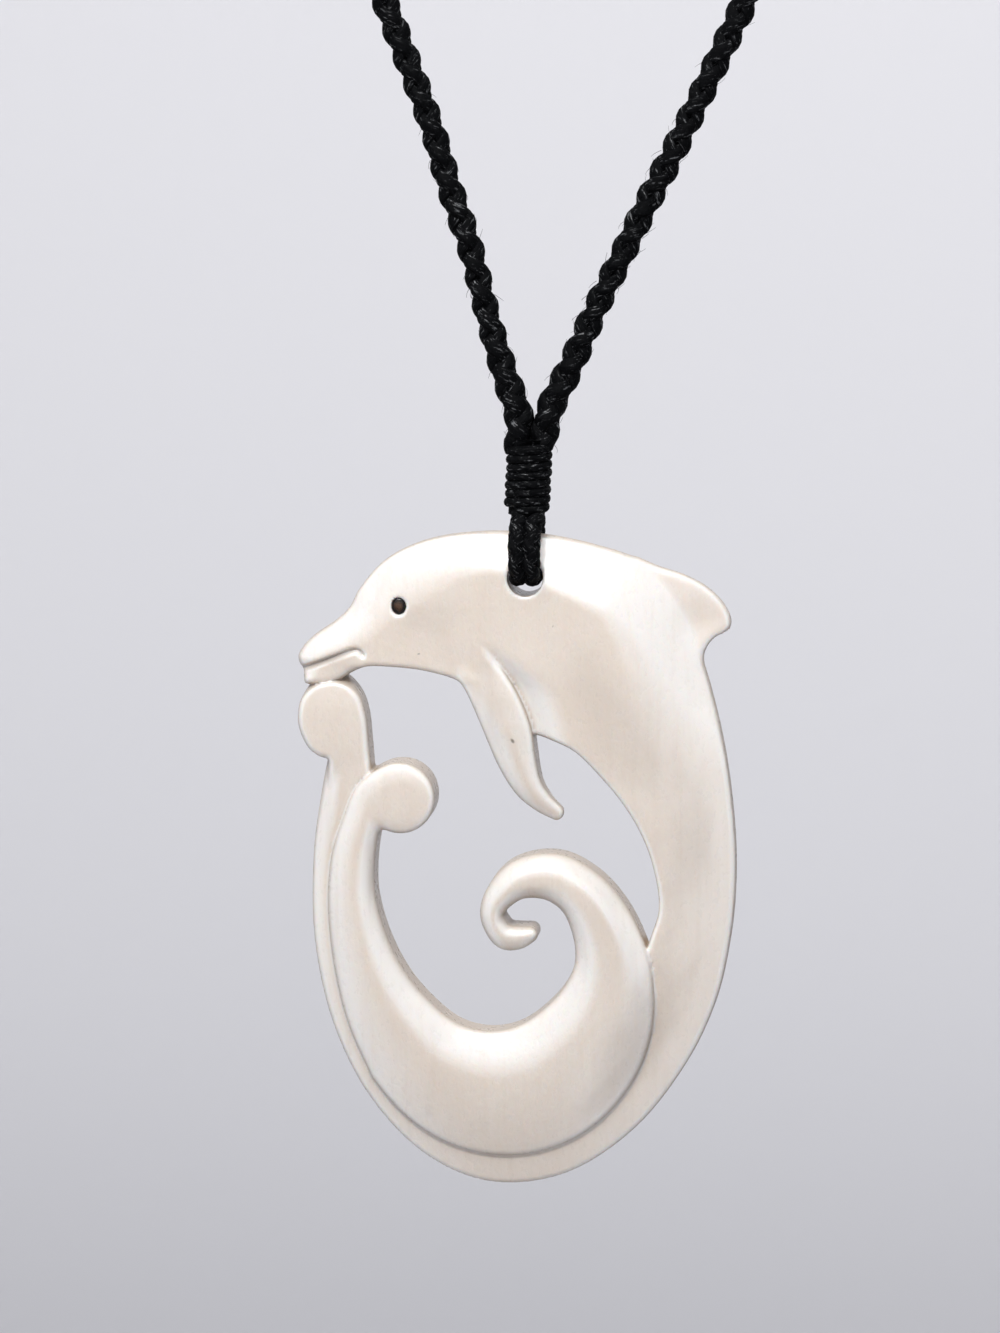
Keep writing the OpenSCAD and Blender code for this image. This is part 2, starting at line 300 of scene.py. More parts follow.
def loose_fibres(route, outer_r, count, chance):
    """Fine ends of thread that stand off a cord. Each starts in its skin, leans along it and away from
    it, and bends over: with t from 0 to 1 it is start + length (along t + out (t - bend t^2))."""
    middle = smooth_line(route, route_points)
    ahead = unit(np.gradient(middle, axis=0))
    fibres = []
    for place in chance.integers(2, route_points - 10, count):
        out = unit(np.cross(ahead[place], chance.normal(size=3)))
        along = ahead[place] * chance.choice((-1, 1)) + 0.5 * np.cross(ahead[place], out)
        t = np.linspace(0, 1, 6)[:, None]
        rise = chance.uniform(0.5, 1.1) * (t - chance.uniform(0.1, 0.9) * t**2)
        long = chance.uniform(0.3, 0.85)
        line = middle[place] + out * (outer_r - 0.15) + long * (along * t + out * rise)
        thick = fibre_d * (1 - 0.5 * t)
        fibres.append(strand_skin(line, out[None], thick, thick, 4))
    return fibres


plait_finish = black_thread("plaited cord", 3, 0.35, 0.09)
for name, route, lean in (("left", left_half, (1, -1, 0)), ("right", right_half, (-1, -1, 0))):
    strands = plait(route, lean, plait_turn, plait_middle_r, plait_swing, plait_wide, plait_thick,
                    plait_sides, rings_per_turn, plait_first)
    chance = np.random.default_rng(len(name))
    strands += loose_fibres(route, cord_r, fibres_a_half, chance)
    cord = strand_piece(f"plaited_cord_{name}", strands, plait_finish)
    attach(cord, "neck_loop")
    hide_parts(f"cord_{name}")


# Strands through the hole. Each is a thin plait of waxed thread, which goes in at the front of the
# drilled hole and comes out at the back, and both ends run up into the whipping.
strand_x = 0.6
strand_turn = 3.0
strand_middle_r, strand_swing = 0.32, 0.1
strand_wide, strand_thick = 0.92, 0.62
strand_face, bend_r = 2.62, 1.4


def strand_line(side):
    """Middle line of a strand in mm about the hole: up the front, round a quarter circle into the
    hole, and the same way up the back."""
    turn = np.linspace(0, math.pi / 2, 6)
    bend = np.stack([strand_face - bend_r + bend_r * np.cos(turn), bend_r * (1 - np.sin(turn))], axis=1)
    rise = np.array([(0.8, 5.6), (0.95, 5.0), (1.7, 4.35), (2.3, 3.5), (2.58, 2.4)])
    half = np.concatenate([rise, bend])
    front = np.concatenate([half * (-1, 1), half[::-1]])
    bow = -0.1 * np.exp(-((front[:, 1] - 3.2) / 1.5) ** 2)
    return np.stack([side * strand_x + bow + 0.03 * front[:, 1], front[:, 0], front[:, 1]], axis=1)


strand_finish = black_thread("strand", 3, 0.5, 0.09)
for name, side in (("left", -1), ("right", 1)):
    plaited = plait(strand_line(side) + hole_centre * 1000, (side, 0, 0), strand_turn, strand_middle_r,
                    strand_swing, strand_wide, strand_thick, plait_sides, rings_per_turn,
                    0.5 + 0.7 * side)
    strand = strand_piece(f"plaited_strand_{name}", plaited, strand_finish)
    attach(strand, "neck_loop")
    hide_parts(f"strand_{name}")


# Whipping and join. A waxed thread is wound tightly round the strands and both cords, and its ends
# are drawn in under the turns. The join behind the neck is wound in the same way.
thread_d = 0.8
bundle_r = 1.5
turn_pitch = 0.8


def wound_thread(start, way, across, turns, lean):
    """A thread wound round a bundle: the helix of radius bundle_r that rises by turn_pitch each turn
    and dips into the bundle at both ends, a little uneven from turn to turn, with the bundle itself as
    a plain round core."""
    way, across = np.array(way, float), np.array(across, float)
    third = np.cross(way, across)
    t = np.linspace(0, turns, turns * 40 + 1)[:, None]
    dip = np.clip(np.minimum(t, turns - t) / 0.3, 0, 1)
    radius = bundle_r * (0.55 + 0.45 * dip * dip * (3 - 2 * dip))
    radius = radius + 0.035 * np.sin(2.3 * t) * np.sin(6.4 * t + 1) * dip
    angle = 2 * math.pi * t + math.pi
    outward = np.cos(angle) * across + np.sin(angle) * third
    rise = (t + 0.5 * (1 - t / turns) - 0.5 * t / turns) * turn_pitch
    rise = rise + 0.03 * np.sin(5.1 * t) * np.sin(1.7 * t + 2) * dip
    line = start + rise * way + radius * outward + rise * lean * across
    thread = strand_skin(line, outward, thread_d * 1.03, thread_d, 12)
    ends = np.linspace(0.1, turns * turn_pitch - 0.1, 12)[:, None]
    bundle = start + ends * way + ends * lean * across
    core = strand_skin(bundle, across[None], 2 * bundle_r, 2 * bundle_r, 24)
    return [thread, core]


whipping_finish = black_thread("whipping", 3, 0.9, 0.1)
turns_low = hole_centre * 1000 + np.array((-0.05, 0, 4.95))
whipping_turns, whipping_lean = 8, 0.05
whipping = strand_piece(
    "whipping_thread", wound_thread(turns_low, (0, 0, 1), (1, 0, 0), whipping_turns, whipping_lean),
    whipping_finish)
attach(whipping, "neck_loop")
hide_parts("whipping")
join_start, join_turns = np.array((-7.2, 0, 1.9)), 18
join = strand_piece(
    "join_thread", wound_thread(join_start, (1, 0, 0), (0, 1, 0), join_turns, 0), whipping_finish)
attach(join, "neck_loop")
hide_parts("nape_join")


# Carving. A flat piece of bone, sawn out, pierced and carved in low relief by hand, then polished: a
# dolphin curled into an oval ring, and a raised koru crescent inside its tail. The front is worked
# out as a height over the plan, each form is a wall round its plan with that front and a flat back,
# and the skin is laid where the forms end. Lengths are in mm about the drilled hole, x to the right,
# y up and z towards the viewer.
bone_pitch, mouth_pitch = 0.21, 0.13
hole_r = 1.44
back_z = 1.9
mouth_depth = 0.42
# Dolphin from the beak over the back, round the bottom and up to the lower bulb. Columns: outer edge
# x and y, inner edge x and y, height of the flat side, width and softness of the slope up to it from
# the outer rim
dolphin_rows = [
    (-18.5, -7.7, -18.3, -8.0, 1.6, 0.9, 0.5), (-18.8, -6.8, -18.2, -8.9, 1.65, 1.0, 0.5),
    (-18.3, -5.85, -17.5, -9.05, 1.7, 1.1, 0.6), (-17.3, -4.9, -16.4, -8.95, 1.75, 1.3, 0.6),
    (-15.7, -3.8, -15.1, -8.5, 1.8, 1.6, 0.6), (-14.5, -2.6, -14.2, -7.95, 1.8, 2.0, 0.6),
    (-13.7, -1.1, -13.0, -7.45, 1.8, 2.4, 0.7), (-11.9, 1.0, -11.2, -7.45, 1.85, 2.8, 0.7),
    (-9.6, 2.4, -8.8, -7.65, 1.9, 3.0, 0.6), (-6.6, 3.3, -6.5, -8.15, 1.9, 3.0, 0.3),
    (-2.6, 3.68, -4.5, -8.8, 1.9, 2.9, 0.15), (1.4, 3.45, -2.2, -10.5, 1.9, 3.7, 0.12),
    (5.5, 2.65, -0.5, -12.5, 1.9, 4.5, 0.15), (9.3, 1.3, 1.6, -13.1, 1.9, 5.0, 0.25),
    (12.2, -1.8, 4.0, -14.1, 1.9, 5.2, 0.4), (14.15, -6.0, 6.2, -16.2, 1.9, 5.0, 0.6),
    (15.5, -10.4, 7.9, -18.2, 1.9, 4.8, 1.0), (16.5, -15.0, 9.3, -20.4, 1.85, 4.4, 1.2),
    (17.15, -20.4, 10.4, -23.1, 1.8, 3.8, 1.2), (17.25, -25.0, 11.0, -26.6, 1.75, 3.6, 1.2),
    (16.8, -29.6, 10.3, -29.3, 1.65, 3.5, 1.0), (15.65, -34.6, 9.0, -33.0, 1.55, 3.2, 0.8),
    (13.2, -39.8, 7.2, -37.6, 1.45, 2.8, 0.6), (9.0, -45.2, 4.5, -41.3, 1.4, 2.2, 0.5),
    (3.4, -49.0, 0.8, -43.6, 1.4, 2.0, 0.5), (-2.8, -49.9, -3.2, -44.2, 1.4, 2.0, 0.5),
    (-8.4, -47.7, -7.0, -42.4, 1.4, 2.0, 0.5), (-13.0, -43.0, -10.4, -38.6, 1.4, 1.8, 0.5),
    (-16.05, -36.9, -12.6, -34.0, 1.4, 1.6, 0.5), (-17.55, -30.0, -13.6, -29.0, 1.4, 1.4, 0.4),
    (-17.6, -23.0, -13.7, -23.5, 1.4, 1.3, 0.4), (-16.9, -17.8, -12.6, -18.0, 1.65, 1.0, 0.5),
    (-16.3, -14.6, -12.95, -14.8, 1.75, 0.9, 0.5), (-16.2, -12.5, -13.6, -12.4, 1.6, 0.9, 0.5),
]
# Fin on the back, from root to tip, in the first four columns of the dolphin's
fin_rows = [
    (9.0, 1.3, 10.4, -7.5), (12.2, 0.5, 13.4, -6.9), (14.4, -0.5, 14.5, -5.9),
    (15.8, -1.7, 15.3, -4.95), (16.5, -2.7, 16.0, -4.6), (16.75, -3.5, 16.65, -4.1),
]
# Koru crescent from its bulb down, round and up to the curled tip. Columns: x, y, half width, height
# of the crest, of the outer edge and of the inner edge, and how far the outer side is one flat facet
koru_rows = [
    (-10.9, -18.1, 2.3, 2.35, 2.1, 2.1, 0), (-12.3, -18.3, 1.9, 2.35, 2.0, 1.9, 0),
    (-13.4, -20.0, 1.6, 2.35, 1.85, 1.7, 0), (-14.2, -23.2, 1.8, 2.35, 1.8, 1.6, 0),
    (-14.3, -26.8, 2.0, 2.4, 1.78, 1.5, 0), (-13.5, -31.0, 2.45, 2.45, 1.75, 1.5, 0),
    (-12.0, -35.0, 3.1, 2.5, 1.72, 1.4, 0), (-10.1, -38.0, 3.75, 2.55, 1.7, 1.4, 0),
    (-7.8, -40.5, 4.3, 2.6, 1.7, 1.4, 0), (-4.65, -42.05, 4.85, 2.6, 1.7, 1.4, 0),
    (-1.2, -42.35, 5.15, 2.6, 1.7, 1.4, 0), (2.15, -41.2, 5.1, 2.6, 1.7, 1.4, 0),
    (4.8, -38.8, 4.75, 2.6, 1.72, 1.4, 0), (6.5, -36.0, 4.1, 2.55, 1.8, 1.4, 0.1),
    (7.2, -33.0, 3.4, 2.5, 1.8, 1.4, 0.4), (7.0, -30.4, 2.9, 2.5, 1.6, 1.4, 0.8),
    (6.1, -27.9, 2.5, 2.5, 1.3, 1.4, 1), (4.6, -25.8, 2.15, 2.5, 1.2, 1.4, 1),
    (2.3, -24.5, 1.95, 2.4, 1.2, 1.4, 0.9), (-0.4, -24.7, 1.6, 2.35, 1.3, 1.4, 0.6),
    (-2.2, -26.2, 1.2, 2.3, 1.5, 1.4, 0.2), (-2.75, -27.8, 0.97, 2.2, 1.5, 1.4, 0),
    (-1.85, -29.35, 1.03, 2.1, 1.5, 1.4, 0), (-0.7, -29.5, 0.98, 2.05, 1.5, 1.4, 0),
    (0.35, -29.2, 0.68, 2.0, 1.5, 1.4, 0),
]
# Flipper from the chest to its tip. Columns: x, y, half width, height of its crest
flipper_rows = [
    (-5.3, -4.6, 1.0, 1.6), (-3.95, -7.3, 1.6, 1.84), (-2.4, -10.2, 1.9, 2.12), (-1.4, -12.6, 1.9, 2.3),
    (-0.7, -14.9, 1.6, 2.3), (0.2, -17.0, 1.2, 2.2), (1.35, -18.3, 0.9, 2.0), (2.5, -19.15, 0.66, 1.8),
]
# Outline of the lower bulb, from its stem round under the beak and back to the stem
bulb_low_rows = [
    (-16.7, -17.5), (-16.3, -15.9), (-16.3, -15.1), (-17.0, -14.85), (-17.85, -14.2), (-18.5, -13.0),
    (-18.75, -11.7), (-18.5, -10.2), (-17.7, -8.9), (-16.4, -8.2), (-14.8, -8.5), (-13.65, -9.8),
    (-13.1, -11.4), (-12.9, -13.2), (-12.75, -15.0), (-12.6, -17.4),
]
bulb_low, bulb_low_r = (-15.85, -12.0), 3.0
bulb_high, bulb_high_r = (-10.3, -18.1), 2.9
mouth_rows = [
    (-19.6, -8.05), (-17.7, -7.4), (-16.0, -6.75), (-14.5, -6.15), (-13.75, -6.05), (-13.3, -6.4),
]


def stroke(x, y, rows):
    """How far each place (x, y) lies outside a stroke, along it and across it. The stroke's rows are
    x, y and half width w. On the piece of its middle line from a to b, t = (p - a).(b - a) / |b - a|^2
    between 0 and 1 is the nearest place, and the piece with the least |p - nearest| - w counts.
    Along is in rows, and across is the distance to the left of the line as a part of w."""
    rows = np.asarray(rows, float)
    outside = np.full(np.broadcast(x, y).shape, 1e9)
    along, across = np.zeros_like(outside), np.zeros_like(outside)
    for i, ((ax, ay, aw), (bx, by, bw)) in enumerate(zip(rows[:-1], rows[1:])):
        gx, gy = bx - ax, by - ay
        size = math.hypot(gx, gy)
        t = np.clip(((x - ax) * gx + (y - ay) * gy) / size**2, 0, 1)
        w = aw + t * (bw - aw)
        px, py = x - ax - t * gx, y - ay - t * gy
        d = np.hypot(px, py) - w
        nearer = d < outside
        outside = np.where(nearer, d, outside)
        along = np.where(nearer, i + t, along)
        across = np.where(nearer, (gx * (y - ay) - gy * (x - ax)) / size / np.maximum(w, 1e-6), across)
    return outside, along, across


def within(x, y, outline):
    """True where a place (x, y) is inside a closed outline: a level line to its right crosses the
    outline an odd number of times."""
    odd = np.zeros(np.broadcast(x, y).shape, bool)
    for (ax, ay), (bx, by) in zip(outline, np.roll(outline, -1, axis=0)):
        if ay != by:
            odd ^= ((ay > y) != (by > y)) & (x < ax + (y - ay) * (bx - ax) / (by - ay))
    return odd


def rows_of(line, w):
    """The rows of a stroke along a line, all of the same half width w."""
    return np.concatenate([line, np.full((len(line), 1), w)], axis=1)


def plan(x, y, outline):
    """Distance to a closed outline, negative inside."""
    d = stroke(x, y, rows_of(np.concatenate([outline, outline[:1]]), 0))[0]
    return np.where(within(x, y, outline), -d, d)


def soft_least(a, b, k):
    """The lesser of two, with the corner between them filled over a width k: at h = 1/2 + (b - a) / 2k
    it is b + (a - b)h - kh(1 - h)."""
    h = np.clip(0.5 + 0.5 * (b - a) / k, 0, 1)
    return b + (a - b) * h - k * h * (1 - h)


def eased(value, low, high):
    """0 up to low and 1 from high, with the smooth rise 3t^2 - 2t^3 between them."""
    t = np.clip((value - low) / (high - low), 0, 1)
    return t * t * (3 - 2 * t)


def round_edge(a, b, r):
    """Inside both a and b, with the edge between them rounded to r: beyond a = -r and b = -r it is the
    distance from there less r."""
    return np.minimum(np.maximum(a, b), -r) + np.hypot(np.maximum(a + r, 0), np.maximum(b + r, 0))


def smoothed(values, reach):
    """Each value replaced by the mean of those up to reach cells away, along each axis in turn, twice
    over. The mean is the running sum so far less the running sum before, over the cells between."""
    for axis in tuple(range(values.ndim)) * 2:
        pad = [(reach + 1, reach) if a == axis else (0, 0) for a in range(values.ndim)]
        run = np.cumsum(np.pad(values, pad, mode="edge"), axis=axis)
        high = np.take(run, np.arange(2 * reach + 1, run.shape[axis]), axis=axis)
        low = np.take(run, np.arange(run.shape[axis] - 2 * reach - 1), axis=axis)
        values = (high - low) / (2 * reach + 1)
    return values


def fine_line(rows, per_row):
    """A smooth line through the rows of a table, with so many steps from each row to the next."""
    return smooth_line(rows, (len(rows) - 1) * per_row + 1)


def in_rows(along, rows, column, per_row):
    """A column of a table at a place along its fine line."""
    return np.interp(along / per_row, np.arange(len(rows)), np.asarray(rows)[:, column])


def fine_steps(low, high, pitch, fine_low, fine_high, fine_pitch):
    """Places from low to high a pitch apart, closer between fine_low and fine_high."""
    return np.concatenate([
        np.linspace(low, fine_low, round((fine_low - low) / pitch), endpoint=False),
        np.linspace(fine_low, fine_high, round((fine_high - fine_low) / fine_pitch), endpoint=False),
        np.linspace(fine_high, high, round((high - fine_high) / pitch) + 1),
    ])


grid_x = fine_steps(-19.8, 18.0, bone_pitch, -19.2, -12.7, mouth_pitch)
grid_y = fine_steps(-50.6, 4.5, bone_pitch, -9.3, -5.6, mouth_pitch)
grid_z = np.concatenate([
    np.arange(-2.2, -1.2, 0.2), np.arange(-1.2, 0.7, 0.38), np.arange(0.7, 2.9, 0.16),
])
x, y = grid_x[:, None], grid_y[None, :]

# The dolphin's plan is its ring and its fin, filled a little where they meet. Its front rises from
# the thin outer rim to a flat side. On the beak and the jaw it rises from both edges
per_row, per_stroke_row = 6, 12
dolphin_line = fine_line(dolphin_rows, per_row)
outer_edge, inner_edge = dolphin_line[:, :2], dolphin_line[:, 2:4]
fin_line = fine_line(fin_rows, per_row)
ring_plan = plan(x, y, np.concatenate([outer_edge, inner_edge[::-1]]))
fin_plan = plan(x, y, np.concatenate([fin_line[:, :2], fin_line[::-1, 2:4]]))
dolphin_plan = soft_least(ring_plan, fin_plan, 1.0)
from_rim, along_rim, _ = stroke(x, y, rows_of(outer_edge, 0))
on_head = eased(y, -10.5, -9.0) * eased(-x, 11.0, 14.5)
# Over the fin, outside the ring, the slope goes on down less steeply
from_rim = np.where((ring_plan > 0) & (x > 8) & (y > -9), -0.3 * from_rim, from_rim)
flat_side, slope_w, softness = (
    smoothed(in_rows(along_rim, dolphin_rows, c, per_row), 4) for c in (4, 5, 6))
# The rim is thinnest at the upper right
rim_z = np.minimum(0.95, flat_side - 0.25) - 0.7 * eased(x, -6.0, 2.0) * eased(y, -16.0, -7.0)
slope = rim_z + (flat_side - rim_z) * from_rim / slope_w
dolphin_front = soft_least(slope, flat_side, softness)
jaw_slope = 1.25 - 1.3 * ring_plan + 3 * (1 - on_head)
dolphin_front = soft_least(dolphin_front, jaw_slope, 0.4)
dolphin_back = np.minimum(1.0 + 0.9 * np.maximum(from_rim, 0) / 3.8, back_z)

# The flipper stands on the chest. It grows out of it without an edge on the left, and the side falls
# away behind it on the right. A soft scoop lies in the fin
flipper_line = fine_line(flipper_rows, per_stroke_row)
flipper_plan, along_flipper, across_flipper = stroke(x, y, flipper_line[:, :3])
chest_fill = soft_least(dolphin_plan, flipper_plan, 0.9) - np.minimum(dolphin_plan, flipper_plan)
chest_fill = smoothed(chest_fill * eased(y, -15.0, -12.0) * eased(-across_flipper, 0.0, 0.6), 2)
dolphin_plan, flipper_plan = dolphin_plan + chest_fill, flipper_plan + chest_fill
crest = in_rows(along_flipper, flipper_rows, 3, per_stroke_row)
t = np.clip(across_flipper, -1, 1)
flipper_front = crest - np.where(t < 0, 0.8, 0.35) * t * t * eased(-y, 8.0, 14.0) - 0.1 * t * t
flipper_front, across_flipper = smoothed(flipper_front, 3), smoothed(across_flipper, 2)
flipper_back = 1.7 - 1.8 * eased(along_flipper / per_stroke_row, 3.2, 7.0)
behind_reach = 0.8 + 0.9 * eased(-y, 5.5, 10.0)
behind_flipper = np.exp(-((np.maximum(flipper_plan, 0) + 0.1) / behind_reach) ** 2)
behind_flipper = behind_flipper * eased(across_flipper, 0.7, 1.05)
dolphin_front = dolphin_front - 0.8 * behind_flipper * eased(-y, 5.0, 9.4)
dolphin_front = dolphin_front - 0.18 * np.exp(-((x - 13.8) ** 2 + (y + 3.8) ** 2) / 1.7**2)

# The mouth is cut with a steep upper wall and a flatter lower one
from_mouth, _, beside_mouth = stroke(x, y, rows_of(fine_line(mouth_rows, per_row), 1e-3))
mouth_reach = np.where(beside_mouth > 0, 0.2, 0.36)
in_mouth = np.clip(1 - np.maximum(from_mouth, 0) / mouth_reach, 0, 1)
dolphin_front = dolphin_front - mouth_depth * in_mouth

# The crescent's front has its crest nearer the inner edge and falls away on both sides, and the
# outer side of its curl is one flat facet. The two bulbs are nearly flat and flow into their stems
koru_line = fine_line(koru_rows, per_stroke_row)
koru_plan, along_koru, across_koru = stroke(x, y, koru_line[:, :3])
koru_plan = koru_plan + (smoothed(koru_plan, 5) - koru_plan) * eased(-y, 31.0, 34.5)
crest, outer_z, inner_z, facet = (
    smoothed(in_rows(along_koru, koru_rows, c, per_stroke_row), 3) for c in (3, 4, 5, 6))
t = np.clip(smoothed(np.clip(across_koru, -1.2, 1.2), 1), -1, 1)
top = 0.2
round_side = crest - (crest - outer_z) * ((top - np.minimum(t, top)) / (1 + top)) ** 2
flat_facet = soft_least(crest, outer_z + (crest - outer_z) * (t + 1) / 0.6, 0.15)
koru_front = round_side + (flat_facet - round_side) * facet
koru_front = smoothed(koru_front - (crest - inner_z) * (np.maximum(t - top, 0) / (1 - top)) ** 2.2, 1)
high_plan = np.hypot(x - bulb_high[0], y - bulb_high[1]) - bulb_high_r
high_front = 2.4 - 0.12 * ((high_plan + bulb_high_r) / bulb_high_r) ** 2
koru_front = koru_front + (high_front - koru_front) * eased(-high_plan, -0.8, 1.4)
koru_plan = soft_least(koru_plan, high_plan, 0.7)
dolphin_front = dolphin_front - 0.06 * np.exp(-(np.maximum(koru_plan, 0) / 0.22) ** 2)

low_plan = plan(x, y, fine_line(bulb_low_rows, 7))
from_low = np.hypot(x - bulb_low[0], y - bulb_low[1])
on_bulb = smoothed(eased(bulb_low_r - from_low, -2.3, -0.6), 3)
low_front = dolphin_front + (1.9 - 0.1 * (from_low / bulb_low_r) ** 2 - dolphin_front) * on_bulb
# The face of the lower bulb ends in a round step, except at its stem
low_front = soft_least(low_front, 1.1 + 4.0 * (3.35 - from_low) + 20.0 * eased(-y, 10.0, 12.0), 0.4)
low_back = dolphin_back + (1.75 - dolphin_back) * on_bulb


def form(form_plan, front, back, z, r):
    """One form of the carving: the space inside the plan's wall, below the front and above the back,
    with its edges rounded to r. It is negative inside."""
    return round_edge(form_plan[..., None], np.maximum(z - front[..., None], -z - back), r)


z = grid_z[None, None, :]
dolphin = form(dolphin_plan, dolphin_front, dolphin_back[..., None], z, 0.4)
bulb_under_beak = form(low_plan, low_front, low_back[..., None], z, 0.5)
flipper = form(flipper_plan, flipper_front, flipper_back[..., None], z, 0.36)
koru = form(koru_plan, koru_front, back_z - 0.1, z, 0.42)
by_chest = eased(-across_flipper, 0.0, 0.8) * eased(-y, 6.0, 9.0) * eased(y, -13.5, -11.0)
bone = soft_least(dolphin, flipper, 0.05 + 0.3 * by_chest[..., None])
bone = soft_least(bone, bulb_under_beak, 0.03)
bone = soft_least(bone, koru, 0.05)
# The drilled hole and the socket of the eye have slightly rounded edges
in_hole = hole_r - np.hypot(x, y)[..., None]
bone = round_edge(bone, in_hole, 0.12)
eye_x, eye_y, eye_wide, eye_tall, eye_floor = -10.35, -2.42, 0.6, 0.68, 0.9
from_eye = (np.hypot((x - eye_x) / eye_wide, (y - eye_y) / eye_tall)[..., None] - 1) * eye_wide
bone = round_edge(bone, -np.maximum(from_eye, eye_floor - z), 0.08)


def at_places(values, places, xs, ys, zs):
    """Values of a block of numbers at places between its grid planes, each mixed from the eight
    corners round it by its part of the way across the cell."""
    cell, part = [], []
    for axis, planes in enumerate((xs, ys, zs)):
        i = np.clip(np.searchsorted(planes, places[:, axis]) - 1, 0, len(planes) - 2)
        cell.append(i)
        part.append(np.clip((places[:, axis] - planes[i]) / (planes[i + 1] - planes[i]), 0, 1))
    total = 0
    for corner in np.ndindex(2, 2, 2):
        weight = 1
        for p, side in zip(part, corner):
            weight = weight * (p if side else 1 - p)
        total = total + weight * values[tuple(i + side for i, side in zip(cell, corner))]
    return total


def skin(xs, ys, zs, solid):
    """The skin of the space where solid is negative. Each cell of the grid that the skin crosses gets
    one point, the mean of the crossings on its twelve edges, which then moves straight to where the
    solid is 0. Each crossed edge gets one face of the four cells round it, turned outwards."""
    inside = solid < 0
    planes = (xs, ys, zs)
    shape = tuple(n - 1 for n in solid.shape)
    count, total = np.zeros(shape), np.zeros(shape + (3,))
    crossed = []
    for axis in range(3):
        low = [slice(None)] * 3
        high = [slice(None)] * 3
        low[axis], high[axis] = slice(None, -1), slice(1, None)
        low, high = tuple(low), tuple(high)
        change = inside[low] != inside[high]
        crossed.append(change)
        with np.errstate(divide="ignore", invalid="ignore"):
            part = np.where(change, solid[low] / (solid[low] - solid[high]), 0)
        starts = [q[:-1] if k == axis else q for k, q in enumerate(planes)]
        place = list(np.meshgrid(*starts, indexing="ij"))
        step = np.diff(planes[axis]).reshape([-1 if a == axis else 1 for a in range(3)])
        place[axis] = place[axis] + part * step
        others = [a for a in range(3) if a != axis]
        for da, db in np.ndindex(2, 2):
            window = [slice(None)] * 3
            window[others[0]] = slice(da, da + shape[others[0]])
            window[others[1]] = slice(db, db + shape[others[1]])
            window = tuple(window)
            count += change[window]
            for k in range(3):
                total[..., k] += np.where(change[window], place[k][window], 0)
    used = count > 0
    number = np.cumsum(used.ravel()).reshape(shape) - 1
    points = total[used] / count[used][:, None]
    faces = []
    for axis in range(3):
        a, b = (axis + 1) % 3, (axis + 2) % 3
        i = np.stack(np.nonzero(crossed[axis]), axis=1)
        ok = (i[:, a] > 0) & (i[:, b] > 0) & (i[:, a] < shape[a]) & (i[:, b] < shape[b])
        i = i[ok]
        corners = []
        for da, db in ((1, 1), (0, 1), (0, 0), (1, 0)):
            cell = i.copy()
            cell[:, a] -= da
            cell[:, b] -= db
            corners.append(number[tuple(cell.T)])
        face = np.stack(corners, axis=1)
        outward = inside[tuple(i.T)]
        faces.append(np.where(outward[:, None], face, face[:, ::-1]))
    slopes = np.gradient(solid, xs, ys, zs)
    for _ in range(2):
        value = at_places(solid, points, xs, ys, zs)
        slope = np.stack([at_places(g, points, xs, ys, zs) for g in slopes], axis=1)
        steep = np.maximum((slope**2).sum(axis=1), 0.2)
        points = points - np.clip(value / steep, -0.08, 0.08)[:, None] * slope
    return points, np.concatenate(faces)


bone_points, bone_faces = skin(grid_x, grid_y, grid_z, bone)
# The tables below the head were drawn as seen from a little above, which shortens them
height = bone_points[:, 1] - 0.014 * np.maximum(-8 - bone_points[:, 1], 0)
placed = np.stack([bone_points[:, 0], -bone_points[:, 2], height], axis=1) * 0.001 + hole_centre
bone_finish = bpy.data.materials.new("polished bone")
carving = new_piece("bone_carving", placed, bone_faces.tolist(), bone_finish)
# The share of bone in the space round a place is a half on a flat face, more in a groove and less on
# an edge
share = smoothed((bone < 0).astype(np.float32), 2)
share = at_places(share, bone_points, grid_x, grid_y, grid_z)
normals = np.empty(3 * len(bone_points), np.float32)
carving.data.vertex_normals.foreach_get("vector", normals)
# Groove is over 0 in grooves. Side is 0 on the front and the back and nears 1 where the skin stands at
# right angles to them. Lean is how far the skin leans up or sideways, as a sine
for name, values in (
    ("groove", (share - 0.5).astype(np.float32)),
    ("side", 1 - np.abs(normals[1::3])),
    ("lean", np.hypot(normals[0::3], np.maximum(normals[2::3], 0))),
):
    carving.data.attributes.new(name, "FLOAT", "POINT").data.foreach_set("value", values)


def fleck_group():
    """One patch: 1 within about one unit of the middle and 0 outside, with a ragged rim. It shapes
    marks in the bone and patches of painted shade.
    """
    group = bpy.data.node_groups.new("bone fleck and shade patch", "ShaderNodeTree")
    group.interface.new_socket("Vector", in_out="INPUT", socket_type="NodeSocketVector")
    group.interface.new_socket("Ragged", in_out="INPUT", socket_type="NodeSocketFloat")
    group.interface.new_socket("Mask", in_out="OUTPUT", socket_type="NodeSocketFloat")
    new, link = group.nodes.new, group.links.new
    given, gives = new("NodeGroupInput"), new("NodeGroupOutput")
    far = new("ShaderNodeVectorMath")
    far.operation = "LENGTH"
    link(given.outputs["Vector"], far.inputs[0])
    uneven = worked(group, "MULTIPLY_ADD", noise(group, given.outputs["Vector"], 1.7, 3),
                    given.outputs["Ragged"], far.outputs["Value"])
    fade = ranged(group, uneven, 1.3, 0.6)
    fade.node.interpolation_type = "SMOOTHSTEP"
    link(fade, gives.inputs["Mask"])
    return group


fleck = fleck_group()


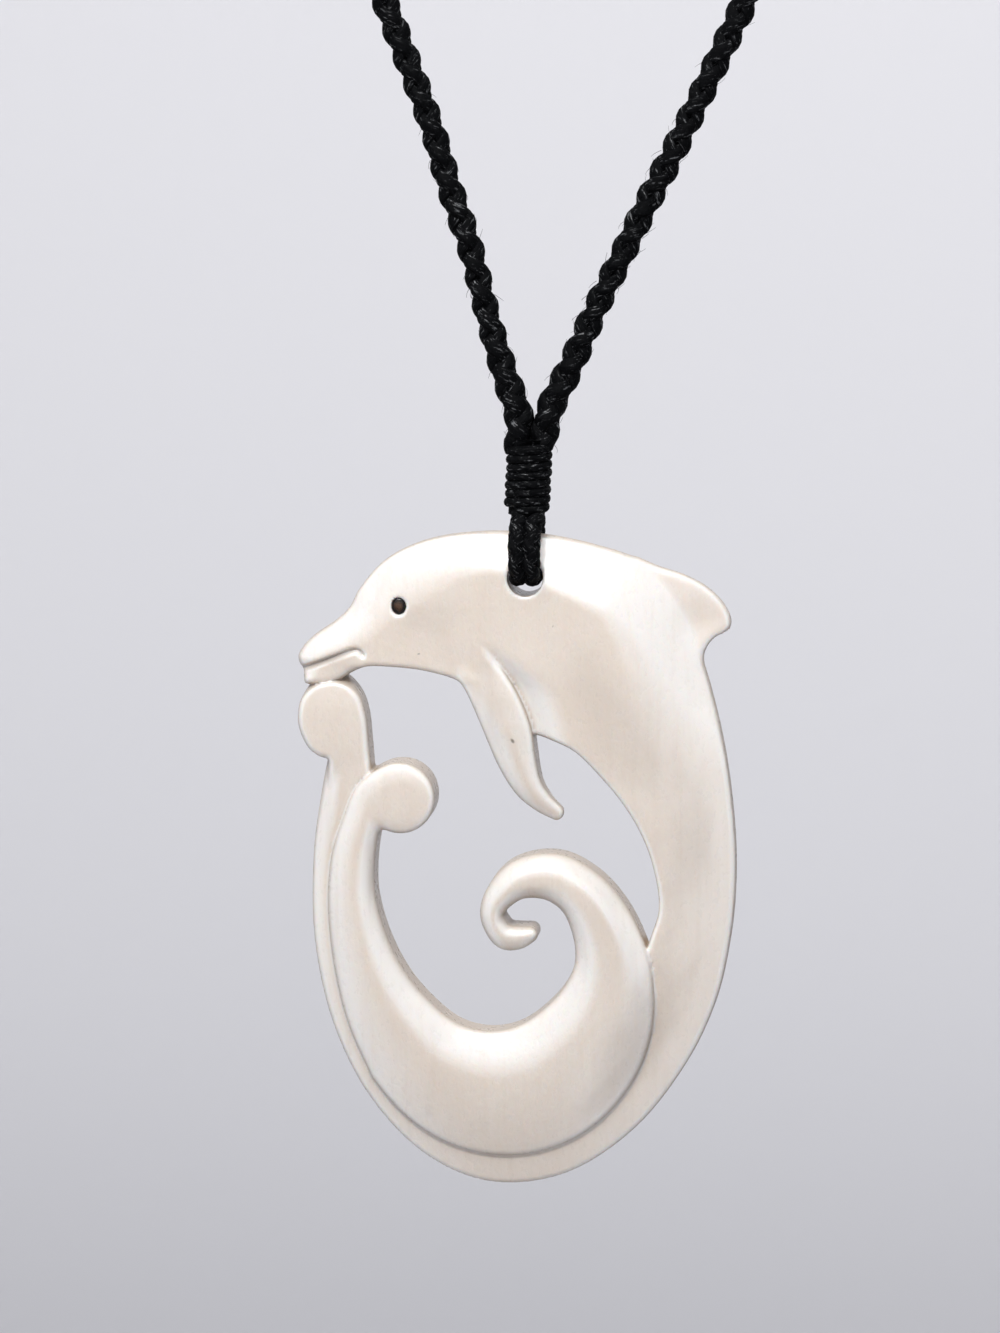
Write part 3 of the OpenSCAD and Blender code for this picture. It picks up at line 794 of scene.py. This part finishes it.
def patch_mask_at(tree, source, middle, size, ragged, turn=0.0):
    """The mask of one patch round a middle, turned by some degrees: a fleck, a smudge or a patch of
    painted shade. Its size is half its length, depth and width."""
    place = tree.nodes.new("ShaderNodeMapping")
    place.vector_type = "TEXTURE"
    place.inputs["Location"].default_value = tuple(middle)
    place.inputs["Rotation"].default_value = (0, math.radians(-turn), 0)
    place.inputs["Scale"].default_value = size
    tree.links.new(source, place.inputs["Vector"])
    mark = tree.nodes.new("ShaderNodeGroup")
    mark.node_tree = fleck
    mark.inputs["Ragged"].default_value = ragged
    tree.links.new(place.outputs[0], mark.inputs["Vector"])
    return mark.outputs["Mask"]


# Polished bone is cream, paler and darker in patches, with fine streaks and pores along its
# length, and painted highlight makes it paler where the skin leans up or sideways. Its sawn sides
# have a thinner coat, and painted shade makes them and the grooves browner. Short marks are dark
# flecks. Long ones are faint brown smudges near the bottom and patches of painted shade, the last
# of them a brown tint in the mouth.
# Columns: x, y, half length and half width in mm, turn in degrees, how strong and how ragged
cream, deep_cream, painted_highlight_pale = (0.845, 0.765, 0.68, 1), (0.75, 0.645, 0.545, 1), (0.95, 0.925, 0.89, 1)
streak, side_shade_brown = (0.64, 0.53, 0.42, 1), (0.44, 0.35, 0.26, 1)
smudge_and_shade_brown, mark_brown = (0.17, 0.098, 0.05, 1), (0.13, 0.115, 0.085, 1)
mark_rows = [
    (-0.95, -13.3, 0.3, 0.17, -52, 0.8, 0.5), (-8.7, -6.3, 0.15, 0.09, 20, 0.5, 0.4),
    (2.3, -3.86, 0.13, 0.07, 60, 0.35, 0.4), (13.85, -7.5, 0.45, 0.06, 86, 0.5, 0.2),
    (-3.5, -45.1, 1.6, 0.8, 10, 0.08, 1.0), (-7.8, -44.3, 1.3, 0.9, -30, 0.07, 1.0),
    (4.3, -43.6, 1.4, 0.8, 30, 0.06, 1.0), (9.8, -37.4, 12.0, 4.6, 62, 0.28, 0.8),
    (7.6, -12.5, 10.5, 4.8, -56, 0.12, 0.8), (-1.8, -11.5, 7.5, 2.2, -66, 0.15, 0.8),
    (13.8, -21.0, 11.0, 3.6, 88, 0.17, 0.8), (-7.6, -3.4, 4.6, 2.6, 15, 0.09, 0.8),
    (-16.5, -7.08, 3.1, 0.36, 20.5, 0.42, 0.3),
]
bone_tree, bone_shader = new_nodes(bone_finish)
bone_new, bone_link = bone_tree.nodes.new, bone_tree.links.new
bone_place = bone_new("ShaderNodeTexCoord").outputs["Object"]


def drawn_noise(scale, stretch, detail, low, high):
    """Noise at a scale per metre, drawn out along the bone by a factor, spread from low and high to 0
    and 1."""
    along = bone_new("ShaderNodeMapping")
    along.inputs["Scale"].default_value = (scale, scale, scale / stretch)
    bone_link(bone_place, along.inputs["Vector"])
    return ranged(bone_tree, noise(bone_tree, along.outputs[0], 1, detail), low, high)


def on_skin(name, low, high):
    """An attribute of the carving's skin, spread from low and high to 0 and 1."""
    node = bone_new("ShaderNodeAttribute")
    node.attribute_name = name
    return ranged(bone_tree, node.outputs["Fac"], low, high)


def layer(below, above, mask, strength):
    """A colour laid over another by a mask, at most as strongly as given."""
    return mixed(bone_tree, worked(bone_tree, "MULTIPLY", mask, strength), below, above)


patches = drawn_noise(150, 1.6, 4, 0.35, 0.68)
streaks = drawn_noise(1700, 22, 4, 0.5, 0.8)
pores = drawn_noise(5200, 7, 2, 0.69, 0.78)
mottle = drawn_noise(2300, 1.5, 4, 0.3, 0.75)
tone = layer(cream, deep_cream, patches, 0.55)
tone = layer(tone, deep_cream, mottle, 0.4)
# Painted highlight: paler where the skin leans up or sideways, towards the light
tone = layer(tone, painted_highlight_pale, on_skin("lean", 0.04, 0.28), 0.8)
tone = layer(tone, streak, streaks, 0.16)
tone = layer(tone, streak, pores, 0.12)
# Long marks paint faint brown smudges near the bottom and patches of painted shade on the body and
# band; the last tints the mouth brown
for mark_x, mark_y, long, wide, turn, strong, ragged in mark_rows:
    centre = hole_centre + np.array((mark_x, -back_z, mark_y)) * 0.001
    mark = patch_mask_at(
        bone_tree, bone_place, centre, (long * 0.001, 0.0012, wide * 0.001), ragged, turn)
    tone = layer(tone, mark_brown if long < 1 else smudge_and_shade_brown, mark, strong)
groove_shade, side_walls = on_skin("groove", 0.07, 0.3), on_skin("side", 0.16, 0.9)
# Painted shade: browner in grooves and creases, where more bone stands round a place
tone = layer(tone, smudge_and_shade_brown, groove_shade, 0.34)
# Painted shade: the side walls are browner, as they take less light than the front
tone = layer(tone, side_shade_brown, side_walls, 0.9)
# Painted shade darkens the wall of the drilled hole
by_hole = patch_mask_at(bone_tree, bone_place, hole_centre, (0.0022, 0.02, 0.0022), 0.3)
tone = layer(tone, smudge_and_shade_brown, worked(bone_tree, "MULTIPLY", by_hole, side_walls), 0.8)
bone_link(tone, bone_shader.inputs["Base Color"])
dull = ranged(bone_tree, mottle, to_low=0.24, to_high=0.4)
bone_link(worked(bone_tree, "MULTIPLY_ADD", groove_shade, 0.4, dull), bone_shader.inputs["Roughness"])
polish = ranged(bone_tree, side_walls, to_low=1.0, to_high=0.1)
bone_link(polish, bone_shader.inputs["Coat Weight"])
grain = bone_new("ShaderNodeBump")
grain.inputs["Strength"].default_value = 0.5
grain.inputs["Distance"].default_value = 0.00003
bone_link(worked(bone_tree, "MULTIPLY_ADD", pores, -0.4, mottle), grain.inputs["Height"])
bone_link(grain.outputs[0], bone_shader.inputs["Normal"])
bone_shader.inputs["Subsurface Weight"].default_value = 0.25
bone_shader.inputs["Subsurface Radius"].default_value = (1.0, 0.6, 0.35)
bone_shader.inputs["Subsurface Scale"].default_value = 0.0009
bone_shader.inputs["Coat Roughness"].default_value = 0.065
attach(carving, "pendant")
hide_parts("carving")


# Eye. A dark polished disc set into a hole drilled in the head, paler and browner in the middle, with
# its face a little below the bone.
eye_rings, eye_sides = 9, 40
eye_face, eye_dome = 1.7, 0.1
ring_r = np.concatenate([(1, 0.97), np.linspace(0.93, 0.12, eye_rings)])
ring_z = eye_face + eye_dome * (1 - ring_r**2)
ring_z[:2] = eye_floor + 0.03, eye_face - 0.03
a = np.linspace(0, 2 * math.pi, eye_sides, endpoint=False)
# Ring i and angle a lie at (r cos a wide, r sin a tall), at the ring's height
eye_points = np.stack([
    eye_x + ring_r[:, None] * np.cos(a) * (eye_wide - 0.015),
    np.broadcast_to(-ring_z[:, None], (len(ring_r), eye_sides)),
    eye_y + ring_r[:, None] * np.sin(a) * (eye_tall - 0.015),
], axis=-1).reshape(-1, 3)
i, k = np.meshgrid(np.arange(len(ring_r) - 1) * eye_sides, np.arange(eye_sides), indexing="ij")
next_k = (k + 1) % eye_sides
eye_faces = np.stack([i + k, i + next_k, i + eye_sides + next_k, i + eye_sides + k], axis=-1)
eye_faces = eye_faces.reshape(-1, 4).tolist()
last_ring = (len(ring_r) - 1) * eye_sides
eye_faces += [list(range(last_ring, last_ring + eye_sides)), list(range(eye_sides))[::-1]]
eye_finish = bpy.data.materials.new("eye")
eye_tree, eye_shader = new_nodes(eye_finish)
eye_middle = hole_centre + np.array((eye_x, -eye_face, eye_y)) * 0.001
eye_place = eye_tree.nodes.new("ShaderNodeTexCoord").outputs["Object"]
brown = patch_mask_at(
    eye_tree, eye_place, eye_middle, (eye_wide * 0.001, 0.01, eye_tall * 0.001), 0.9)
eye_tone = mixed(eye_tree, brown, (0.006, 0.0045, 0.004, 1), (0.075, 0.036, 0.018, 1))
eye_tree.links.new(eye_tone, eye_shader.inputs["Base Color"])
eye_rough = ranged(eye_tree, brown, to_low=0.16, to_high=0.3)
eye_tree.links.new(eye_rough, eye_shader.inputs["Roughness"])
eye = new_piece("eye_disc", eye_points * 0.001 + hole_centre, eye_faces, eye_finish, flat_faces=1)
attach(eye, "pendant")
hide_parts("eye_inlay")


# Studio. A plain pale floor that sweeps up all round into a plain pale wall, so no edge shows behind
# the necklace. A soft lamp stands high in front of it with a small one beside it that gives the polish
# its glint. A weak one is in front, one lights the wall, and the open top lets in some light.
floor_z, floor_r, sweep_r, wall_top, floor_sides = -0.6, 1.6, 1.6, 3.0, 96
sweep = np.linspace(0, math.pi / 2, 24)
# From the middle: flat out to floor_r, a quarter circle of sweep_r, then straight up
sweep_out = np.concatenate([[0.2, 0.8, 1.4], floor_r + sweep_r * np.sin(sweep), [floor_r + sweep_r]])
sweep_up = np.concatenate([[0, 0, 0], sweep_r * (1 - np.cos(sweep)), [wall_top]]) + floor_z
a = np.linspace(0, 2 * math.pi, floor_sides, endpoint=False)
floor_points = np.stack([
    sweep_out[:, None] * np.cos(a), sweep_out[:, None] * np.sin(a),
    np.broadcast_to(sweep_up[:, None], (len(sweep_out), floor_sides)),
], axis=-1).reshape(-1, 3)
i, k = np.meshgrid(np.arange(len(sweep_out) - 1) * floor_sides, np.arange(floor_sides), indexing="ij")
next_i, next_k = i + floor_sides, (k + 1) % floor_sides
floor_faces = np.stack([i + k, next_i + k, next_i + next_k, i + next_k], axis=-1).reshape(-1, 4)
floor_faces = floor_faces.tolist() + [list(range(floor_sides))]
floor_finish = bpy.data.materials.new("floor")
floor = new_piece("floor", floor_points, floor_faces, floor_finish)
floor_shader = new_nodes(floor_finish)[1]
floor_shader.inputs["Base Color"].default_value = (0.72, 0.715, 0.735, 1)
floor_shader.inputs["Roughness"].default_value = 0.9
floor_shader.inputs["Specular IOR Level"].default_value = 0.1
world = bpy.data.worlds.new("room")
world.use_nodes = True
sky = world.node_tree.nodes["Background"]
sky.inputs["Color"].default_value = (0.93, 0.95, 1.0, 1)
sky.inputs["Strength"].default_value = 0.5
bpy.context.scene.world = world
# Columns: name, place, what it is aimed at, size in metres, power in watts, spread in degrees
for name, place, aim, size, power, spread in (
    ("high", hole_centre + (-0.03, -0.165, 0.245), hole_centre + (0.002, 0, -0.018), 0.2, 0.68, 180),
    ("glint", hole_centre + (-0.04, -0.25, 0.24), picture_centre, 0.022, 0.42, 180),
    ("front", (-0.1, -0.9, 0), picture_centre, 0.6, 0.75, 180),
    ("on_the_wall", (0, 0.3, 1.9), (0, 3.2, 0.9), 1.6, 36, 115),
):
    lamp = bpy.data.objects.new(name, bpy.data.lights.new(name, "AREA"))
    lamp.data.size = size
    lamp.data.energy = power
    lamp.data.spread = math.radians(spread)
    lamp.location = place
    lamp.rotation_mode = "QUATERNION"
    lamp.rotation_quaternion = Vector(np.array(aim) - np.array(place)).to_track_quat("-Z", "Y")
    lamp.visible_camera = False
    bpy.context.scene.collection.objects.link(lamp)
bpy.context.scene.view_settings.view_transform = "Standard"
